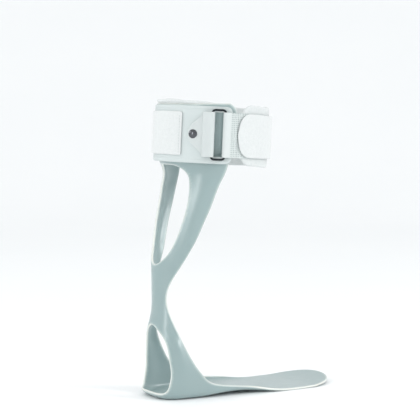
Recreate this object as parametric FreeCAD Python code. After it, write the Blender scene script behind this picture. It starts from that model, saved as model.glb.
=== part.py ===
"""Ankle foot orthosis for the right foot: a thin moulded plastic leaf spring with a sole plate, two heel
wings, a narrow strut behind the ankle and a forked calf band that is closed round the shin by straps.

Units are millimetres. +X points to the toes, +Y to the inner side of the leg and +Z up. The origin is on
the floor, under the middle of the heel. Angles round the calf are measured from the back of the leg
towards its outer side."""
import FreeCAD
import Part

import math
import os

Vector = FreeCAD.Vector

# Moulded shell
WALL = 2.8
FLEX_BOTTOM = 104.0
FLEX_TOP = 136.0
TOP_EDGE = 325.0
POINTS_PER_HALF = 13

# Calf band: an upright cylinder that leans a little towards the toes
BAND_MIDDLE = Vector(51.0, 0.0, 290.0)
LEAN = math.radians(3.0)
BAND_RADIUS = 62.5
CLEARANCE = 0.3

# Soft layers round the calf, as radii from the band's axis and heights from its middle
PAD_THICKNESS = 4.6
PAD_ANGLE = 84.0
PAD_ABOVE_BAND = 2.5
COVER_THICKNESS = 1.2
COVER_ANGLE = 80.5
COVER_HEIGHT = 60.0
COVER_CORNER = 7.0
WINDOW_ANGLES = (60.0, 73.0)
WINDOW_HEIGHT = 46.0
STRAP_WIDTH = 46.0
STRAP_THICKNESS = 1.7
BACK_STRAP_END = 29.5
TAB_WIDTH = 49.0
TAB_TIP_ANGLE = 38.5
TAB_KNEE_ANGLE = 50.0
TAB_THICKNESS = 1.3
TAB_TIP_WIDTH = 15.0
TAB_SHOULDER_WIDTH = 41.0
TAB_NECK = 4.0
TAB_SHOULDER = 11.5
SEWN_OVERLAP = 0.05

# Rivets that hold the straps to the band
RIVET_ANGLES = {"outer_rivet": 42.5, "inner_rivet": -64.0}
RIVET_HEAD = 4.9
RIVET_DOME_RADIUS = 7.0
RIVET_DOME_RISE = 2.0
RIVET_SHANK = 1.9
WASHER_RADIUS = 4.2
WASHER_THICKNESS = 0.8
WASHER_GAP = 0.6
WASHER_ROOM = 0.5
SHANK_BEYOND_WASHER = 0.3

# Wire ring and the mesh strap that hangs from it
RING_WIRE = 1.2
RING_WIDTH = 14.8
RING_HEIGHT = 53.4
RING_CORNER = 3.5
RING_ANGLE = 66.5
RING_CENTRE_RADIUS = 67.2
ROLL_BORE = 1.7
MESH_END = 128.0
MESH_WIDTH = 48.0

# Shin pad and the closing strap
SHIN_PAD_ANGLES = (88.5, 252.0)
SHIN_PAD_THICKNESS = 5.2
SHIN_PAD_HEIGHT = 63.0
SHIN_PAD_CORNER = 12.0
HINGE_ANGLE = -97.0
HINGE_GAP = 1.2
CLOSURE_END = 86.0
CLOSURE_END_RADIUS = 32.0
CLOSURE_GAP = 0.8
HOOK_ANGLES = (90.0, 124.0)
HOOK_THICKNESS = 0.4

# Sections of the moulding from the calf's top edge to the toes. Each has its lowest middle point (x, z),
# the point (x, z) of both edges, the half width to the outer and to the inner side, and how square the
# U is: 2 is round, and more has a flatter bottom with upright walls.
LEG_SECTIONS = [
    ((-3.6, 250.0), (38.6, 250.0), 53.6, 53.6, 2.0),
    ((-6.2, 238.0), (34.0, 238.0), 50.0, 50.0, 2.0),
    ((-12.6, 216.0), (26.4, 216.0), 46.0, 46.0, 2.0),
    ((-18.0, 195.0), (18.6, 195.0), 41.6, 41.6, 2.0),
    ((-20.9, 175.0), (11.6, 175.0), 36.0, 36.0, 2.0),
    ((-21.9, 160.0), (5.2, 160.0), 30.4, 30.4, 2.0),
    ((-22.3, 146.0), (-2.4, 146.0), 25.8, 25.8, 2.0),
    ((-22.4, 132.0), (-10.0, 132.0), 20.6, 20.6, 2.0),
    ((-22.4, 118.0), (-14.6, 118.0), 16.8, 16.8, 2.0),
    ((-22.4, 106.0), (-15.0, 106.0), 16.2, 16.2, 2.0),
    ((-23.0, 95.0), (-13.2, 95.0), 19.0, 19.0, 2.0),
    ((-24.8, 85.0), (-10.4, 85.0), 23.0, 23.0, 2.0),
    ((-27.8, 75.0), (-6.4, 74.4), 26.6, 26.6, 2.0),
    ((-31.2, 64.0), (-1.8, 63.6), 29.3, 29.3, 2.1),
    ((-33.8, 51.0), (3.8, 52.0), 31.6, 31.6, 2.4),
    ((-34.8, 37.0), (9.4, 41.6), 33.2, 33.2, 2.8),
    ((-34.4, 23.0), (15.0, 33.0), 34.4, 34.4, 3.2),
    ((-32.2, 11.0), (21.0, 25.6), 35.2, 35.2, 3.6),
    ((-26.6, 2.6), (27.6, 18.6), 35.8, 35.8, 3.8),
    ((-16.0, -0.5), (35.4, 14.6), 36.2, 36.0, 4.0),
    ((-2.0, -0.5), (44.6, 12.4), 36.6, 36.2, 4.0),
    ((14.0, -0.3), (54.6, 11.0), 37.2, 36.0, 4.0),
    ((32.0, 1.4), (66.0, 9.6), 38.0, 35.8, 4.0),
    ((52.0, 2.8), (79.0, 7.8), 39.2, 36.0, 4.0),
    ((74.0, 2.6), (92.0, 5.2), 40.8, 37.4, 4.0),
    ((95.0, 0.6), (106.0, 2.4), 42.0, 40.0, 4.0),
    ((114.0, -0.4), (120.0, 0.6), 42.8, 42.6, 4.0),
    ((134.0, -0.5), (136.0, 0.0), 42.8, 44.6, 4.0),
    ((152.0, -0.2), (153.0, 0.1), 41.8, 45.4, 4.0),
    ((170.0, 1.0), (170.5, 1.2), 40.0, 45.0, 4.0),
    ((188.0, 3.2), (188.2, 3.3), 38.0, 44.0, 4.0),
    ((206.0, 6.4), (206.1, 6.5), 36.0, 43.0, 4.0),
]
# Sections of the calf band as height, half angle and radius. The first three round its front top corners.
BAND_SECTIONS = [(325.0, 77.5, 62.5), (320.5, 83.4, 62.5), (313.5, 85.9, 62.5), (303.0, 86.2, 62.5),
                 (290.0, 85.5, 62.2), (275.0, 84.0, 60.8), (262.0, 81.5, 57.6)]

# Rims of the openings on the shell's wall, from the top round the outer side to the bottom (x, half, z)
FORK_APEX = Vector(30.0, 0.0, 208.0)
FORK_RIM = [(-4.0, 0.0, 258.0), (-2.4, 14.0, 257.0), (1.4, 24.5, 251.5), (4.0, 31.0, 240.0),
            (2.0, 33.4, 222.0), (-4.2, 31.6, 196.0), (-11.0, 25.6, 173.0), (-17.0, 15.4, 156.5),
            (-19.6, 0.0, 148.5)]
HEEL_APEX = Vector(12.0, 0.0, 38.0)
HEEL_RIM = [(-25.4, 0.0, 81.0), (-23.8, 13.0, 75.0), (-20.6, 23.0, 63.0), (-18.8, 29.2, 43.0),
            (-18.6, 31.0, 22.0), (-22.0, 28.0, 10.0), (-30.0, 15.0, 6.0), (-32.0, 0.0, 5.6)]
CUTTER_REACH = 75.0
TRIM_HEIGHT = 420.0

# Plan outline of the plate's toe end (x, y), outer side first
TOE_OUTLINE = [(166.0, -41.0), (184.0, -33.5), (197.0, -18.0), (203.0, 4.0), (200.0, 25.0), (188.0, 39.5),
               (172.0, 45.5)]

LEAN_AXIS = Vector(math.sin(LEAN), 0, math.cos(LEAN))


def band_place():
    """The placement of the calf band's own frame: its axis leans forward and its middle is BAND_MIDDLE."""
    return FreeCAD.Placement(BAND_MIDDLE, FreeCAD.Rotation(Vector(0, 1, 0), math.degrees(LEAN)))


def polar(radius, angle, height=0.0):
    """A point of the band's frame, at an angle from the back of the leg towards its outer side."""
    turn = math.radians(angle)
    return Vector(-radius * math.cos(turn), -radius * math.sin(turn), height)


def arc_edge(radius, start, end, height=0.0):
    middle = 0.5 * (start + end)
    points = [polar(radius, angle, height) for angle in (start, middle, end)]
    return Part.Arc(*points).toShape()


def sector(inner, outer, start, end, height, middle_height=0.0):
    """A curved slab of the band's frame between two radii and two angles, centred on middle_height."""
    low = middle_height - 0.5 * height
    wire = Part.Wire([
        arc_edge(inner, start, end, low),
        Part.LineSegment(polar(inner, end, low), polar(outer, end, low)).toShape(),
        arc_edge(outer, end, start, low),
        Part.LineSegment(polar(outer, start, low), polar(inner, start, low)).toShape(),
    ])
    return Part.Face(wire).extrude(Vector(0, 0, height))


def round_end_corners(slab, angle, radius):
    """Rounds the two corners that a slab has at one end angle."""
    edges = []
    for edge in slab.Edges:
        ends = [vertex.Point for vertex in edge.Vertexes]
        if len(ends) != 2 or abs(ends[0].z - ends[1].z) > 1e-6:
            continue
        bearings = [math.degrees(math.atan2(-point.y, -point.x)) for point in ends]
        if all(abs((bearing - angle + 180) % 360 - 180) < 0.01 for bearing in bearings):
            edges.append(edge)
    return slab.makeFillet(radius, edges)


def smooth_face(points):
    """A face inside a closed smooth curve through points of one plane."""
    curve = Part.BSplineCurve()
    curve.interpolate(points, PeriodicFlag=True)
    return Part.Face(Part.Wire(curve.toShape()))


def half_section(apex, edge, half_width, squareness, steps=60):
    """Evenly spaced points (along, across) from the middle of a U section to one edge."""
    depth = math.dist(apex, edge)
    sweep = min(0.5 * math.pi, max(0.05, 2 * math.atan2(depth, half_width)))
    power = 2 / squareness
    points = []
    for step in range(steps + 1):
        angle = sweep * step / steps
        across = half_width * (math.sin(angle) / math.sin(sweep)) ** power
        along = (1 - math.cos(angle) ** power) / (1 - math.cos(sweep) ** power)
        points.append(Vector(depth * along, across, 0))
    spaced = Part.makePolygon(points).discretize(Number=POINTS_PER_HALF)
    return [(point.x / depth, point.y) for point in spaced]


def section_points(section):
    """Points of one U section of the shell's outer face, from the outer edge round to the inner edge."""
    apex, edge, outer_half, inner_half, squareness = section
    halves = []
    for half_width, side in ((outer_half, -1), (inner_half, 1)):
        half = []
        for along, across in half_section(apex, edge, half_width, squareness):
            x = apex[0] + (edge[0] - apex[0]) * along
            z = apex[1] + (edge[1] - apex[1]) * along
            half.append(Vector(x, side * across, z))
        halves.append(half)
    return halves[0][:0:-1] + halves[1]


def band_section(height, angle, radius):
    """The same five values as LEG_SECTIONS for a section of the leaning calf band."""
    centre = BAND_MIDDLE.x + (height - BAND_MIDDLE.z) * math.tan(LEAN)
    half = radius * math.sin(math.radians(angle))
    edge = centre - radius * math.cos(math.radians(angle))
    return ((centre - radius, height), (edge, height), half, half, 2.0)


def shell_blank():
    """The moulding before it is trimmed: a smooth outer face, an inner face one wall away, and their rim.
    The outer face's normals point inwards."""
    sections = [band_section(*values) for values in BAND_SECTIONS] + LEG_SECTIONS
    outer_grid = [section_points(section) for section in sections]
    outer = Part.BSplineSurface()
    outer.interpolate(outer_grid)
    inner_grid = []
    for row in outer_grid:
        inner_row = []
        for point in row:
            normal = outer.normal(*outer.parameter(point))
            inner_row.append(point + normal * WALL)
        inner_grid.append(inner_row)
    inner = Part.BSplineSurface()
    inner.interpolate(inner_grid)
    outer_face = outer.toShape()
    inner_face = inner.toShape()
    sides = [Part.makeRuledSurface(one, other) for one, other in zip(outer_face.Edges, inner_face.Edges)]
    blank = Part.Shell([outer_face, inner_face] + sides)
    blank.sewShape()
    solid = Part.Solid(blank)
    solid.fix(1e-3, 1e-3, 1e-3)
    if solid.Volume < 0:
        solid.reverse()
    return solid


def opening_cutter(tip, rim):
    """A cone from a point inside the leg through an opening's rim, so the cut stands square to the wall."""
    outline = rim + [(x, -half, z) for x, half, z in rim[-2:0:-1]]
    points = []
    for x, half, z in outline:
        ray = Vector(x, -half, z) - tip
        points.append(tip + ray * (CUTTER_REACH / (tip.x - x)))
    base = smooth_face(points)
    return Part.makeLoft([Part.Vertex(tip), base.OuterWire], True)


def toe_trim():
    """Everything that stays of the plate, seen from above."""
    curve = Part.BSplineCurve()
    curve.interpolate([Vector(x, y, -40) for x, y in TOE_OUTLINE])
    start, end = curve.StartPoint, curve.EndPoint
    corners = [end, Vector(end.x, 90, -40), Vector(-90, 90, -40), Vector(-90, -90, -40),
               Vector(start.x, -90, -40), start]
    outline = Part.Wire([curve.toShape(), *Part.makePolygon(corners).Edges])
    return Part.Face(outline).extrude(Vector(0, 0, TRIM_HEIGHT))


def shell_sections():
    """The trimmed moulding, cut into the foot part, the bending strut and the calf part."""
    shell = shell_blank()
    shell = shell.common(toe_trim())
    shell = shell.cut(opening_cutter(FORK_APEX, FORK_RIM))
    shell = shell.cut(opening_cutter(HEEL_APEX, HEEL_RIM))
    levels = {"shell_foot_section": (0.0, FLEX_BOTTOM), "shell_strut_flexure": (FLEX_BOTTOM, FLEX_TOP),
              "shell_calf_section": (FLEX_TOP, TOP_EDGE + 20)}
    return {name: shell.common(Part.makeBox(400, 200, high - low, Vector(-100, -100, low)))
            for name, (low, high) in levels.items()}


def profile_sector(profile, start, end):
    """A slab turned about the band's axis from a profile of (radius, height) points."""
    points = [polar(radius, start, height) for radius, height in profile]
    face = Part.Face(Part.makePolygon(points + points[:1]))
    return face.revolve(Vector(0, 0, 0), Vector(0, 0, 1), end - start)


def calf_pad():
    """Foam pad inside the band. Its outer face follows the band, which narrows towards its lower edge."""
    outer_line = [(BAND_SECTIONS[0][2], TOP_EDGE + PAD_ABOVE_BAND - BAND_MIDDLE.z)]
    outer_line += [(radius, height - BAND_MIDDLE.z) for height, _, radius in BAND_SECTIONS[3:]]
    gap = WALL + CLEARANCE + 0.3
    outer_line = [(radius - gap, height) for radius, height in outer_line]
    inner_line = [(radius - PAD_THICKNESS, height) for radius, height in reversed(outer_line)]
    return profile_sector(outer_line + inner_line, -PAD_ANGLE, PAD_ANGLE)


def band_cover():
    """White cover over the outside of the band, with a window behind the ring."""
    inner = BAND_RADIUS + CLEARANCE
    cover = sector(inner, inner + COVER_THICKNESS, -COVER_ANGLE, COVER_ANGLE, COVER_HEIGHT)
    for angle in (-COVER_ANGLE, COVER_ANGLE):
        cover = round_end_corners(cover, angle, COVER_CORNER)
    return cover.cut(sector(inner - 5, inner + 5, *WINDOW_ANGLES, WINDOW_HEIGHT))


def strap_radius():
    """Inner radius of everything that lies on the cover."""
    return BAND_RADIUS + COVER_THICKNESS + 2 * CLEARANCE


def back_strap():
    inner = strap_radius()
    return sector(inner, inner + STRAP_THICKNESS, HINGE_ANGLE + HINGE_GAP, BACK_STRAP_END, STRAP_WIDTH)


def ring_bar(side):
    """Middle of the ring's rear (-1) or front (1) bar, at the band's middle height."""
    radial = polar(1, RING_ANGLE)
    tangent = Vector(-radial.y, radial.x, 0)
    return radial * RING_CENTRE_RADIUS + tangent * (side * 0.5 * RING_WIDTH)


def bar_angle(side):
    bar = ring_bar(side)
    return math.degrees(math.atan2(-bar.y, -bar.x))


def roll(side, thickness, width):
    """The turn of a strap round one bar of the ring, a tube that the bar can turn in."""
    base = ring_bar(side) - Vector(0, 0, 0.5 * width)
    tube = Part.makeCylinder(ROLL_BORE + thickness, width, base)
    return tube.cut(Part.makeCylinder(ROLL_BORE, width, base))


def ring_tab():
    """Tab of webbing: it lies on the cover, turns round the ring's rear bar and comes back over itself to
    the rivet, where both layers have narrowed."""
    inner = strap_radius()
    lower = sector(inner, inner + TAB_THICKNESS, TAB_TIP_ANGLE, bar_angle(-1), TAB_WIDTH)
    bar = ring_bar(-1)
    crest_under = polar(bar.Length + ROLL_BORE, bar_angle(-1))
    crest = polar(bar.Length + ROLL_BORE + TAB_THICKNESS, bar_angle(-1))
    face_inner = inner + TAB_THICKNESS - SEWN_OVERLAP
    face_outer = inner + 2 * TAB_THICKNESS
    outline = [polar(face_inner, TAB_TIP_ANGLE), polar(face_inner, TAB_KNEE_ANGLE), crest_under, crest,
               polar(face_outer, TAB_KNEE_ANGLE), polar(face_outer, TAB_TIP_ANGLE)]
    face = Part.Face(Part.makePolygon(outline + outline[:1]))
    upper = face.extrude(Vector(0, 0, TAB_WIDTH))
    upper.translate(Vector(0, 0, -0.5 * TAB_WIDTH))
    wire_room = Part.makeCylinder(ROLL_BORE, TAB_WIDTH + 2, bar - Vector(0, 0, 0.5 * TAB_WIDTH + 1))
    layers = lower.fuse([roll(-1, TAB_THICKNESS, TAB_WIDTH), upper]).common(tab_taper())
    return layers.cut(wire_room).removeSplitter()


def tab_taper():
    """Prism across the tab: it leaves the webbing whole at the ring and narrows it to the rivet."""
    radial = polar(1, RIVET_ANGLES["outer_rivet"])
    forward = Vector(-radial.y, radial.x, 0)
    start = radial * (0.5 * BAND_RADIUS)
    profile = [(-TAB_WIDTH, 0.5 * TAB_TIP_WIDTH), (TAB_NECK, 0.5 * TAB_TIP_WIDTH),
               (TAB_SHOULDER, 0.5 * TAB_SHOULDER_WIDTH), (TAB_SHOULDER, 0.5 * TAB_WIDTH),
               (TAB_WIDTH, 0.5 * TAB_WIDTH)]
    corners = profile + [(along, -half) for along, half in reversed(profile)]
    points = [start + forward * along + Vector(0, 0, height) for along, height in corners]
    return Part.Face(Part.makePolygon(points + points[:1])).extrude(radial * BAND_RADIUS)


def washer_seat():
    """Radius at which the rivets' washers begin, just inside the band's wall."""
    return BAND_RADIUS - WALL - WASHER_GAP - WASHER_THICKNESS


def rivet_parts(angle, top_radius):
    """Domed cap, shank and inner washer of one rivet through the strap, cover and band."""
    outward = polar(1, angle)
    dome = Part.makeSphere(RIVET_DOME_RADIUS, outward * (top_radius + RIVET_DOME_RISE - RIVET_DOME_RADIUS))
    cap = dome.common(Part.makeCylinder(RIVET_HEAD, RIVET_DOME_RADIUS, outward * top_radius, outward))
    foot = washer_seat() - SHANK_BEYOND_WASHER
    shank = Part.makeCylinder(RIVET_SHANK, top_radius - foot, outward * foot, outward)
    washer = Part.makeCylinder(WASHER_RADIUS, WASHER_THICKNESS, outward * washer_seat(), outward)
    return cap, shank, washer.cut(shank)


def rivet_hole(angle):
    """Room for one rivet's shank and, inside the band, for its washer."""
    outward = polar(1, angle)
    floor = washer_seat() - SHANK_BEYOND_WASHER - 0.1
    hole = Part.makeCylinder(RIVET_SHANK, BAND_RADIUS - floor + 10, outward * floor, outward)
    pocket_depth = WASHER_THICKNESS + WASHER_GAP
    pocket = Part.makeCylinder(WASHER_RADIUS + WASHER_ROOM, pocket_depth + 0.4, outward * floor, outward)
    return hole, pocket


def rounded_loop(width, height, corner):
    """Closed wire of a rectangle with round corners in the plane of the ring, from its middle."""
    radial = polar(1, RING_ANGLE)
    tangent = (ring_bar(1) - ring_bar(-1)).normalize()
    centre = radial * RING_CENTRE_RADIUS

    def spot(across, up):
        return centre + tangent * across + Vector(0, 0, up)

    half_w, half_h = 0.5 * width, 0.5 * height
    bend = corner * (1 - math.sqrt(0.5))
    edges = []
    for side_x, side_z in ((1, 1), (-1, 1), (-1, -1), (1, -1)):
        on_bar = spot(side_x * half_w, side_z * (half_h - corner))
        on_end = spot(side_x * (half_w - corner), side_z * half_h)
        ends = [on_bar, on_end]
        if side_x * side_z < 0:
            ends.reverse()
        middle = spot(side_x * (half_w - bend), side_z * (half_h - bend))
        edges.append(Part.Arc(ends[0], middle, ends[1]))
    pieces = []
    for index, bend_arc in enumerate(edges):
        following = edges[(index + 1) % 4]
        pieces.append(bend_arc.toShape())
        pieces.append(Part.LineSegment(bend_arc.EndPoint, following.StartPoint).toShape())
    return Part.Wire(pieces), spot(half_w, 0)


def strap_ring():
    """Rectangular ring of round wire."""
    path, start = rounded_loop(RING_WIDTH, RING_HEIGHT, RING_CORNER)
    first = path.Edges[0]
    begin = first.valueAt(first.FirstParameter)
    along = first.tangentAt(first.FirstParameter)
    section = Part.Wire(Part.Circle(begin, along, RING_WIRE).toShape())
    return path.makePipeShell([section], True, False)


def mesh_strap():
    """Loop-faced mesh strap: rolled round the ring's front bar and sewn flat over the shin pad."""
    inner = strap_radius()
    tail = sector(inner, inner + TAB_THICKNESS, bar_angle(1), MESH_END, MESH_WIDTH)
    bore = Part.makeCylinder(ROLL_BORE, MESH_WIDTH + 2, ring_bar(1) - Vector(0, 0, 0.5 * MESH_WIDTH + 1))
    return tail.fuse(roll(1, TAB_THICKNESS, MESH_WIDTH)).cut(bore).removeSplitter()


def shin_pad():
    outer = strap_radius() - CLEARANCE
    pad = sector(outer - SHIN_PAD_THICKNESS, outer, *SHIN_PAD_ANGLES, SHIN_PAD_HEIGHT)
    for angle in SHIN_PAD_ANGLES:
        pad = round_end_corners(pad, angle, SHIN_PAD_CORNER)
    return pad


def closure_centre():
    """Centre of the closing strap's curve: moved towards its free end, which lies on the mesh strap."""
    shift = 0.5 * (TAB_THICKNESS + CLOSURE_GAP)
    return polar(shift, HINGE_ANGLE + 180)


def closure_radii():
    inner = strap_radius() + 0.5 * (TAB_THICKNESS + CLOSURE_GAP)
    return inner, inner + STRAP_THICKNESS


def closure_strap():
    """Closing strap from the hinge line on the inner side, round the shin, to its rounded free end."""
    inner, outer = closure_radii()
    strap = sector(inner, outer, CLOSURE_END, 360 + HINGE_ANGLE, STRAP_WIDTH)
    reach = math.degrees(CLOSURE_END_RADIUS / outer)
    tip = sector(inner - 1, outer + 1, CLOSURE_END - 1, CLOSURE_END + reach, STRAP_WIDTH + 2)
    bearing = CLOSURE_END + reach
    disc = Part.makeCylinder(CLOSURE_END_RADIUS, outer, polar(0.5 * outer, bearing), polar(1, bearing))
    strap = strap.cut(tip.cut(disc))
    strap.translate(closure_centre())
    knuckle_foot = hinge_point() - Vector(0, 0, 0.5 * STRAP_WIDTH)
    knuckle = Part.makeCylinder(0.5 * STRAP_THICKNESS, STRAP_WIDTH, knuckle_foot)
    return strap.fuse(knuckle).removeSplitter()


def hinge_point():
    inner, outer = closure_radii()
    return polar(0.5 * (inner + outer), HINGE_ANGLE) + closure_centre()


def closure_hook_patch():
    """Hook patch under the closing strap's free end."""
    inner = closure_radii()[0]
    patch = sector(inner - HOOK_THICKNESS, inner, *HOOK_ANGLES, STRAP_WIDTH - 8)
    patch.translate(closure_centre())
    return patch


def main():
    os.makedirs("parts", exist_ok=True)
    shapes = shell_sections()
    band_pieces = {
        "calf_pad": calf_pad(),
        "band_cover": band_cover(),
        "back_strap": back_strap(),
        "ring_tab": ring_tab(),
        "strap_ring": strap_ring(),
        "mesh_strap": mesh_strap(),
        "shin_pad": shin_pad(),
        "closure_strap": closure_strap(),
        "closure_hook_patch": closure_hook_patch(),
    }
    for angle in RIVET_ANGLES.values():
        hole, pocket = rivet_hole(angle)
        for name in ("calf_pad", "band_cover", "back_strap", "ring_tab"):
            band_pieces[name] = band_pieces[name].cut(hole)
        band_pieces["calf_pad"] = band_pieces["calf_pad"].cut(pocket)
        hole.Placement = band_place().multiply(hole.Placement)
        shapes["shell_calf_section"] = shapes["shell_calf_section"].cut(hole)
    seats = {"outer_rivet": strap_radius() + 2 * TAB_THICKNESS,
             "inner_rivet": strap_radius() + STRAP_THICKNESS}
    for name, angle in RIVET_ANGLES.items():
        cap, shank, washer = rivet_parts(angle, seats[name])
        band_pieces[name + "_cap"] = cap
        band_pieces[name + "_shank"] = shank
        band_pieces[name + "_washer"] = washer
    for name, piece in band_pieces.items():
        piece.Placement = band_place().multiply(piece.Placement)
        shapes[name] = piece
    for name, shape in shapes.items():
        shape.exportStep(os.path.join("parts", name + ".step"))


main()
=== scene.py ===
import math

import bmesh
import bpy
import numpy as np
from mathutils import Matrix, Vector, noise


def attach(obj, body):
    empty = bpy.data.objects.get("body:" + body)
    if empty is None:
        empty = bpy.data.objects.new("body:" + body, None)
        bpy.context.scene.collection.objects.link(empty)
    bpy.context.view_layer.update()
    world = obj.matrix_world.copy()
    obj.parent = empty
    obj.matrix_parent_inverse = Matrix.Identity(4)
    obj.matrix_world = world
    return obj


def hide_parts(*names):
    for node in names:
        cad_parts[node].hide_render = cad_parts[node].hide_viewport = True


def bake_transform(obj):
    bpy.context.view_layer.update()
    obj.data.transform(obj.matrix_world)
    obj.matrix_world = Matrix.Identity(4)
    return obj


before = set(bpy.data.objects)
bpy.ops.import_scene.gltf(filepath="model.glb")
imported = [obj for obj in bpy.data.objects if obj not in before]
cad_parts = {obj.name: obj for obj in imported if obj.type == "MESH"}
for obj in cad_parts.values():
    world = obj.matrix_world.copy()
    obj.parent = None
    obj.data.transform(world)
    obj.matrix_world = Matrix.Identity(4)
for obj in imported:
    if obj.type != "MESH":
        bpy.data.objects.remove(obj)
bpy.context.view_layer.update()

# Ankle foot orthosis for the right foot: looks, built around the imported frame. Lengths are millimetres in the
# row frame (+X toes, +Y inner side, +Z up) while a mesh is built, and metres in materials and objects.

MM = 0.001
WALL = 2.8
RIM_STEPS = 6

# Calf band, as in the CAD source: middle of the leaning cylinder and its lean, radii of what lies on it, and
# angles from the back of the leg towards its outer side
BAND_MIDDLE = Vector((51.0, 0.0, 290.0))
LEAN = math.radians(3.0)
COVER_OUTER = 64.0
STRAP_INNER = 64.3
STRAP_THICKNESS = 1.7
STRAP_HALF_WIDTH = 23.0
TAB_THICKNESS = 1.3
WEBBING_WALL = TAB_THICKNESS * 0.92
TAB_HALF_WIDTH = 23.9
RING_ANGLE = 66.5
RING_RADIUS = 67.2
ROLL_RADIUS = 2.35
FOLD_POINTS = 90
TAB_TIP = 38.0
TAB_CREASE = 51.5
RING_WIDTH = 14.8
MESH_HALF_WIDTH = 23.8
MESH_END = 127.0
MESH_CREASE = 79.5
MESH_SEWN_END = 84.0
BACK_STRAP_END = 29.5
HINGE_ANGLE = -97.0
CLOSURE_END = 86.0
CLOSURE_SHIFT = 1.05
PAD_RADIUS = 57.2
PAD_LIMIT = 83.0
PAD_WALL = 3.9
SHIN_RADIUS = 61.4
SHIN_ANGLES = (88.6, 251.8)
SHIN_HALF_HEIGHT = 31.4
SHIN_CORNER = 17.0
SHIN_WALL = 4.3
COVER_LIMIT = 80.5
COVER_HALF_HEIGHT = 30.0
WINDOW = (60.0, 73.0)
WINDOW_HALF_HEIGHT = 24.6

# Stretch of the mesh strap rolled round the ring's bar, where a plain pale highlight is painted: its middle,
# half length and soft edge, in metres along the strap's flat length
ROLL_MIDDLE = 0.06725
ROLL_REACH = 0.00725
ROLL_FADE = 0.0004

# Sections of the moulding below the band: middle point (x, z), edge point (x, z), outer and inner half
# width, squareness
LEG_SECTIONS = [
    ((-3.6, 250.0), (38.6, 250.0), 53.6, 53.6, 2.0),
    ((-6.2, 238.0), (34.0, 238.0), 50.0, 50.0, 2.0),
    ((-12.6, 216.0), (26.4, 216.0), 46.0, 46.0, 2.0),
    ((-18.0, 195.0), (18.6, 195.0), 41.6, 41.6, 2.0),
    ((-20.9, 175.0), (11.6, 175.0), 36.0, 36.0, 2.0),
    ((-21.9, 160.0), (5.2, 160.0), 30.4, 30.4, 2.0),
    ((-22.3, 146.0), (-2.4, 146.0), 25.8, 25.8, 2.0),
    ((-22.4, 132.0), (-10.0, 132.0), 20.6, 20.6, 2.0),
    ((-22.4, 118.0), (-14.6, 118.0), 16.8, 16.8, 2.0),
    ((-22.4, 106.0), (-15.0, 106.0), 16.2, 16.2, 2.0),
    ((-23.0, 95.0), (-13.2, 95.0), 19.0, 19.0, 2.0),
    ((-24.8, 85.0), (-10.4, 85.0), 23.0, 23.0, 2.0),
    ((-27.8, 75.0), (-6.4, 74.4), 26.6, 26.6, 2.0),
    ((-31.2, 64.0), (-1.8, 63.6), 29.3, 29.3, 2.1),
    ((-33.8, 51.0), (3.8, 52.0), 31.6, 31.6, 2.4),
    ((-34.8, 37.0), (9.4, 41.6), 33.2, 33.2, 2.8),
    ((-34.4, 23.0), (15.0, 33.0), 34.4, 34.4, 3.2),
    ((-32.2, 11.0), (21.0, 25.6), 35.2, 35.2, 3.6),
    ((-26.6, 2.6), (27.6, 18.6), 35.8, 35.8, 3.8),
    ((-16.0, -0.5), (35.4, 14.6), 36.2, 36.0, 4.0),
    ((-2.0, -0.5), (44.6, 12.4), 36.6, 36.2, 4.0),
    ((14.0, -0.3), (54.6, 11.0), 37.2, 36.0, 4.0),
    ((32.0, 1.4), (66.0, 9.6), 38.0, 35.8, 4.0),
    ((52.0, 2.8), (79.0, 7.8), 39.2, 36.0, 4.0),
    ((74.0, 2.6), (92.0, 5.2), 40.8, 37.4, 4.0),
    ((95.0, 0.6), (106.0, 2.4), 42.0, 40.0, 4.0),
    ((114.0, -0.4), (120.0, 0.6), 42.8, 42.6, 4.0),
    ((134.0, -0.5), (136.0, 0.0), 42.8, 44.6, 4.0),
    ((152.0, -0.2), (153.0, 0.1), 41.8, 45.4, 4.0),
    ((170.0, 1.0), (170.5, 1.2), 40.0, 45.0, 4.0),
    ((188.0, 3.2), (188.2, 3.3), 38.0, 44.0, 4.0),
    ((206.0, 6.4), (206.1, 6.5), 36.0, 43.0, 4.0),
]
# Sections of the band: height, angle that it reaches to each side, radius
BAND_SECTIONS = [(325.0, 77.5, 62.5), (320.5, 83.4, 62.5), (313.5, 85.9, 62.5), (303.0, 86.2, 62.5),
                 (290.0, 85.5, 62.2), (275.0, 84.0, 60.8), (262.0, 81.5, 57.6)]
# Inner halves of the openings' rims (x, half width, z) and the toe's edge in plan
FORK_RIM = [(-4.0, 0.0, 258.0), (-2.4, 14.0, 257.0), (1.4, 24.5, 251.5), (4.0, 31.0, 240.0),
            (2.0, 33.4, 222.0), (-4.2, 31.6, 196.0), (-11.0, 25.6, 173.0), (-17.0, 15.4, 156.5),
            (-19.6, 0.0, 148.5)]
HEEL_RIM = [(-25.4, 0.0, 81.0), (-23.8, 13.0, 75.0), (-20.6, 23.0, 63.0), (-18.8, 29.2, 43.0),
            (-18.6, 31.0, 22.0), (-22.0, 28.0, 10.0), (-30.0, 15.0, 6.0), (-32.0, 0.0, 5.6)]
TOE_OUTLINE = [(166.0, -41.0), (184.0, -33.5), (197.0, -18.0), (203.0, 4.0), (200.0, 25.0), (188.0, 39.5),
               (172.0, 45.5)]
# Number of the band section above the fork's opening, and numbers of the leg sections below it, around the
# heel's opening and at the last straight row before the toe patch
FORK_FIRST = 5
FORK_LAST = 8
HEEL_FIRST = 10
HEEL_LAST = 20
TOE_SECTION = 28
TOE_START = LEG_SECTIONS[TOE_SECTION][0][0]
TOE_MIDDLE = 2.0
TOE_RADIUS = 50.0

SIDE_POINTS = 48
COLUMNS = 32
ROW_STEP = 1.7
RIDGE_HEIGHT = 1.6


# ---------------------------------------------------------------- curves and surfaces

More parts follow.
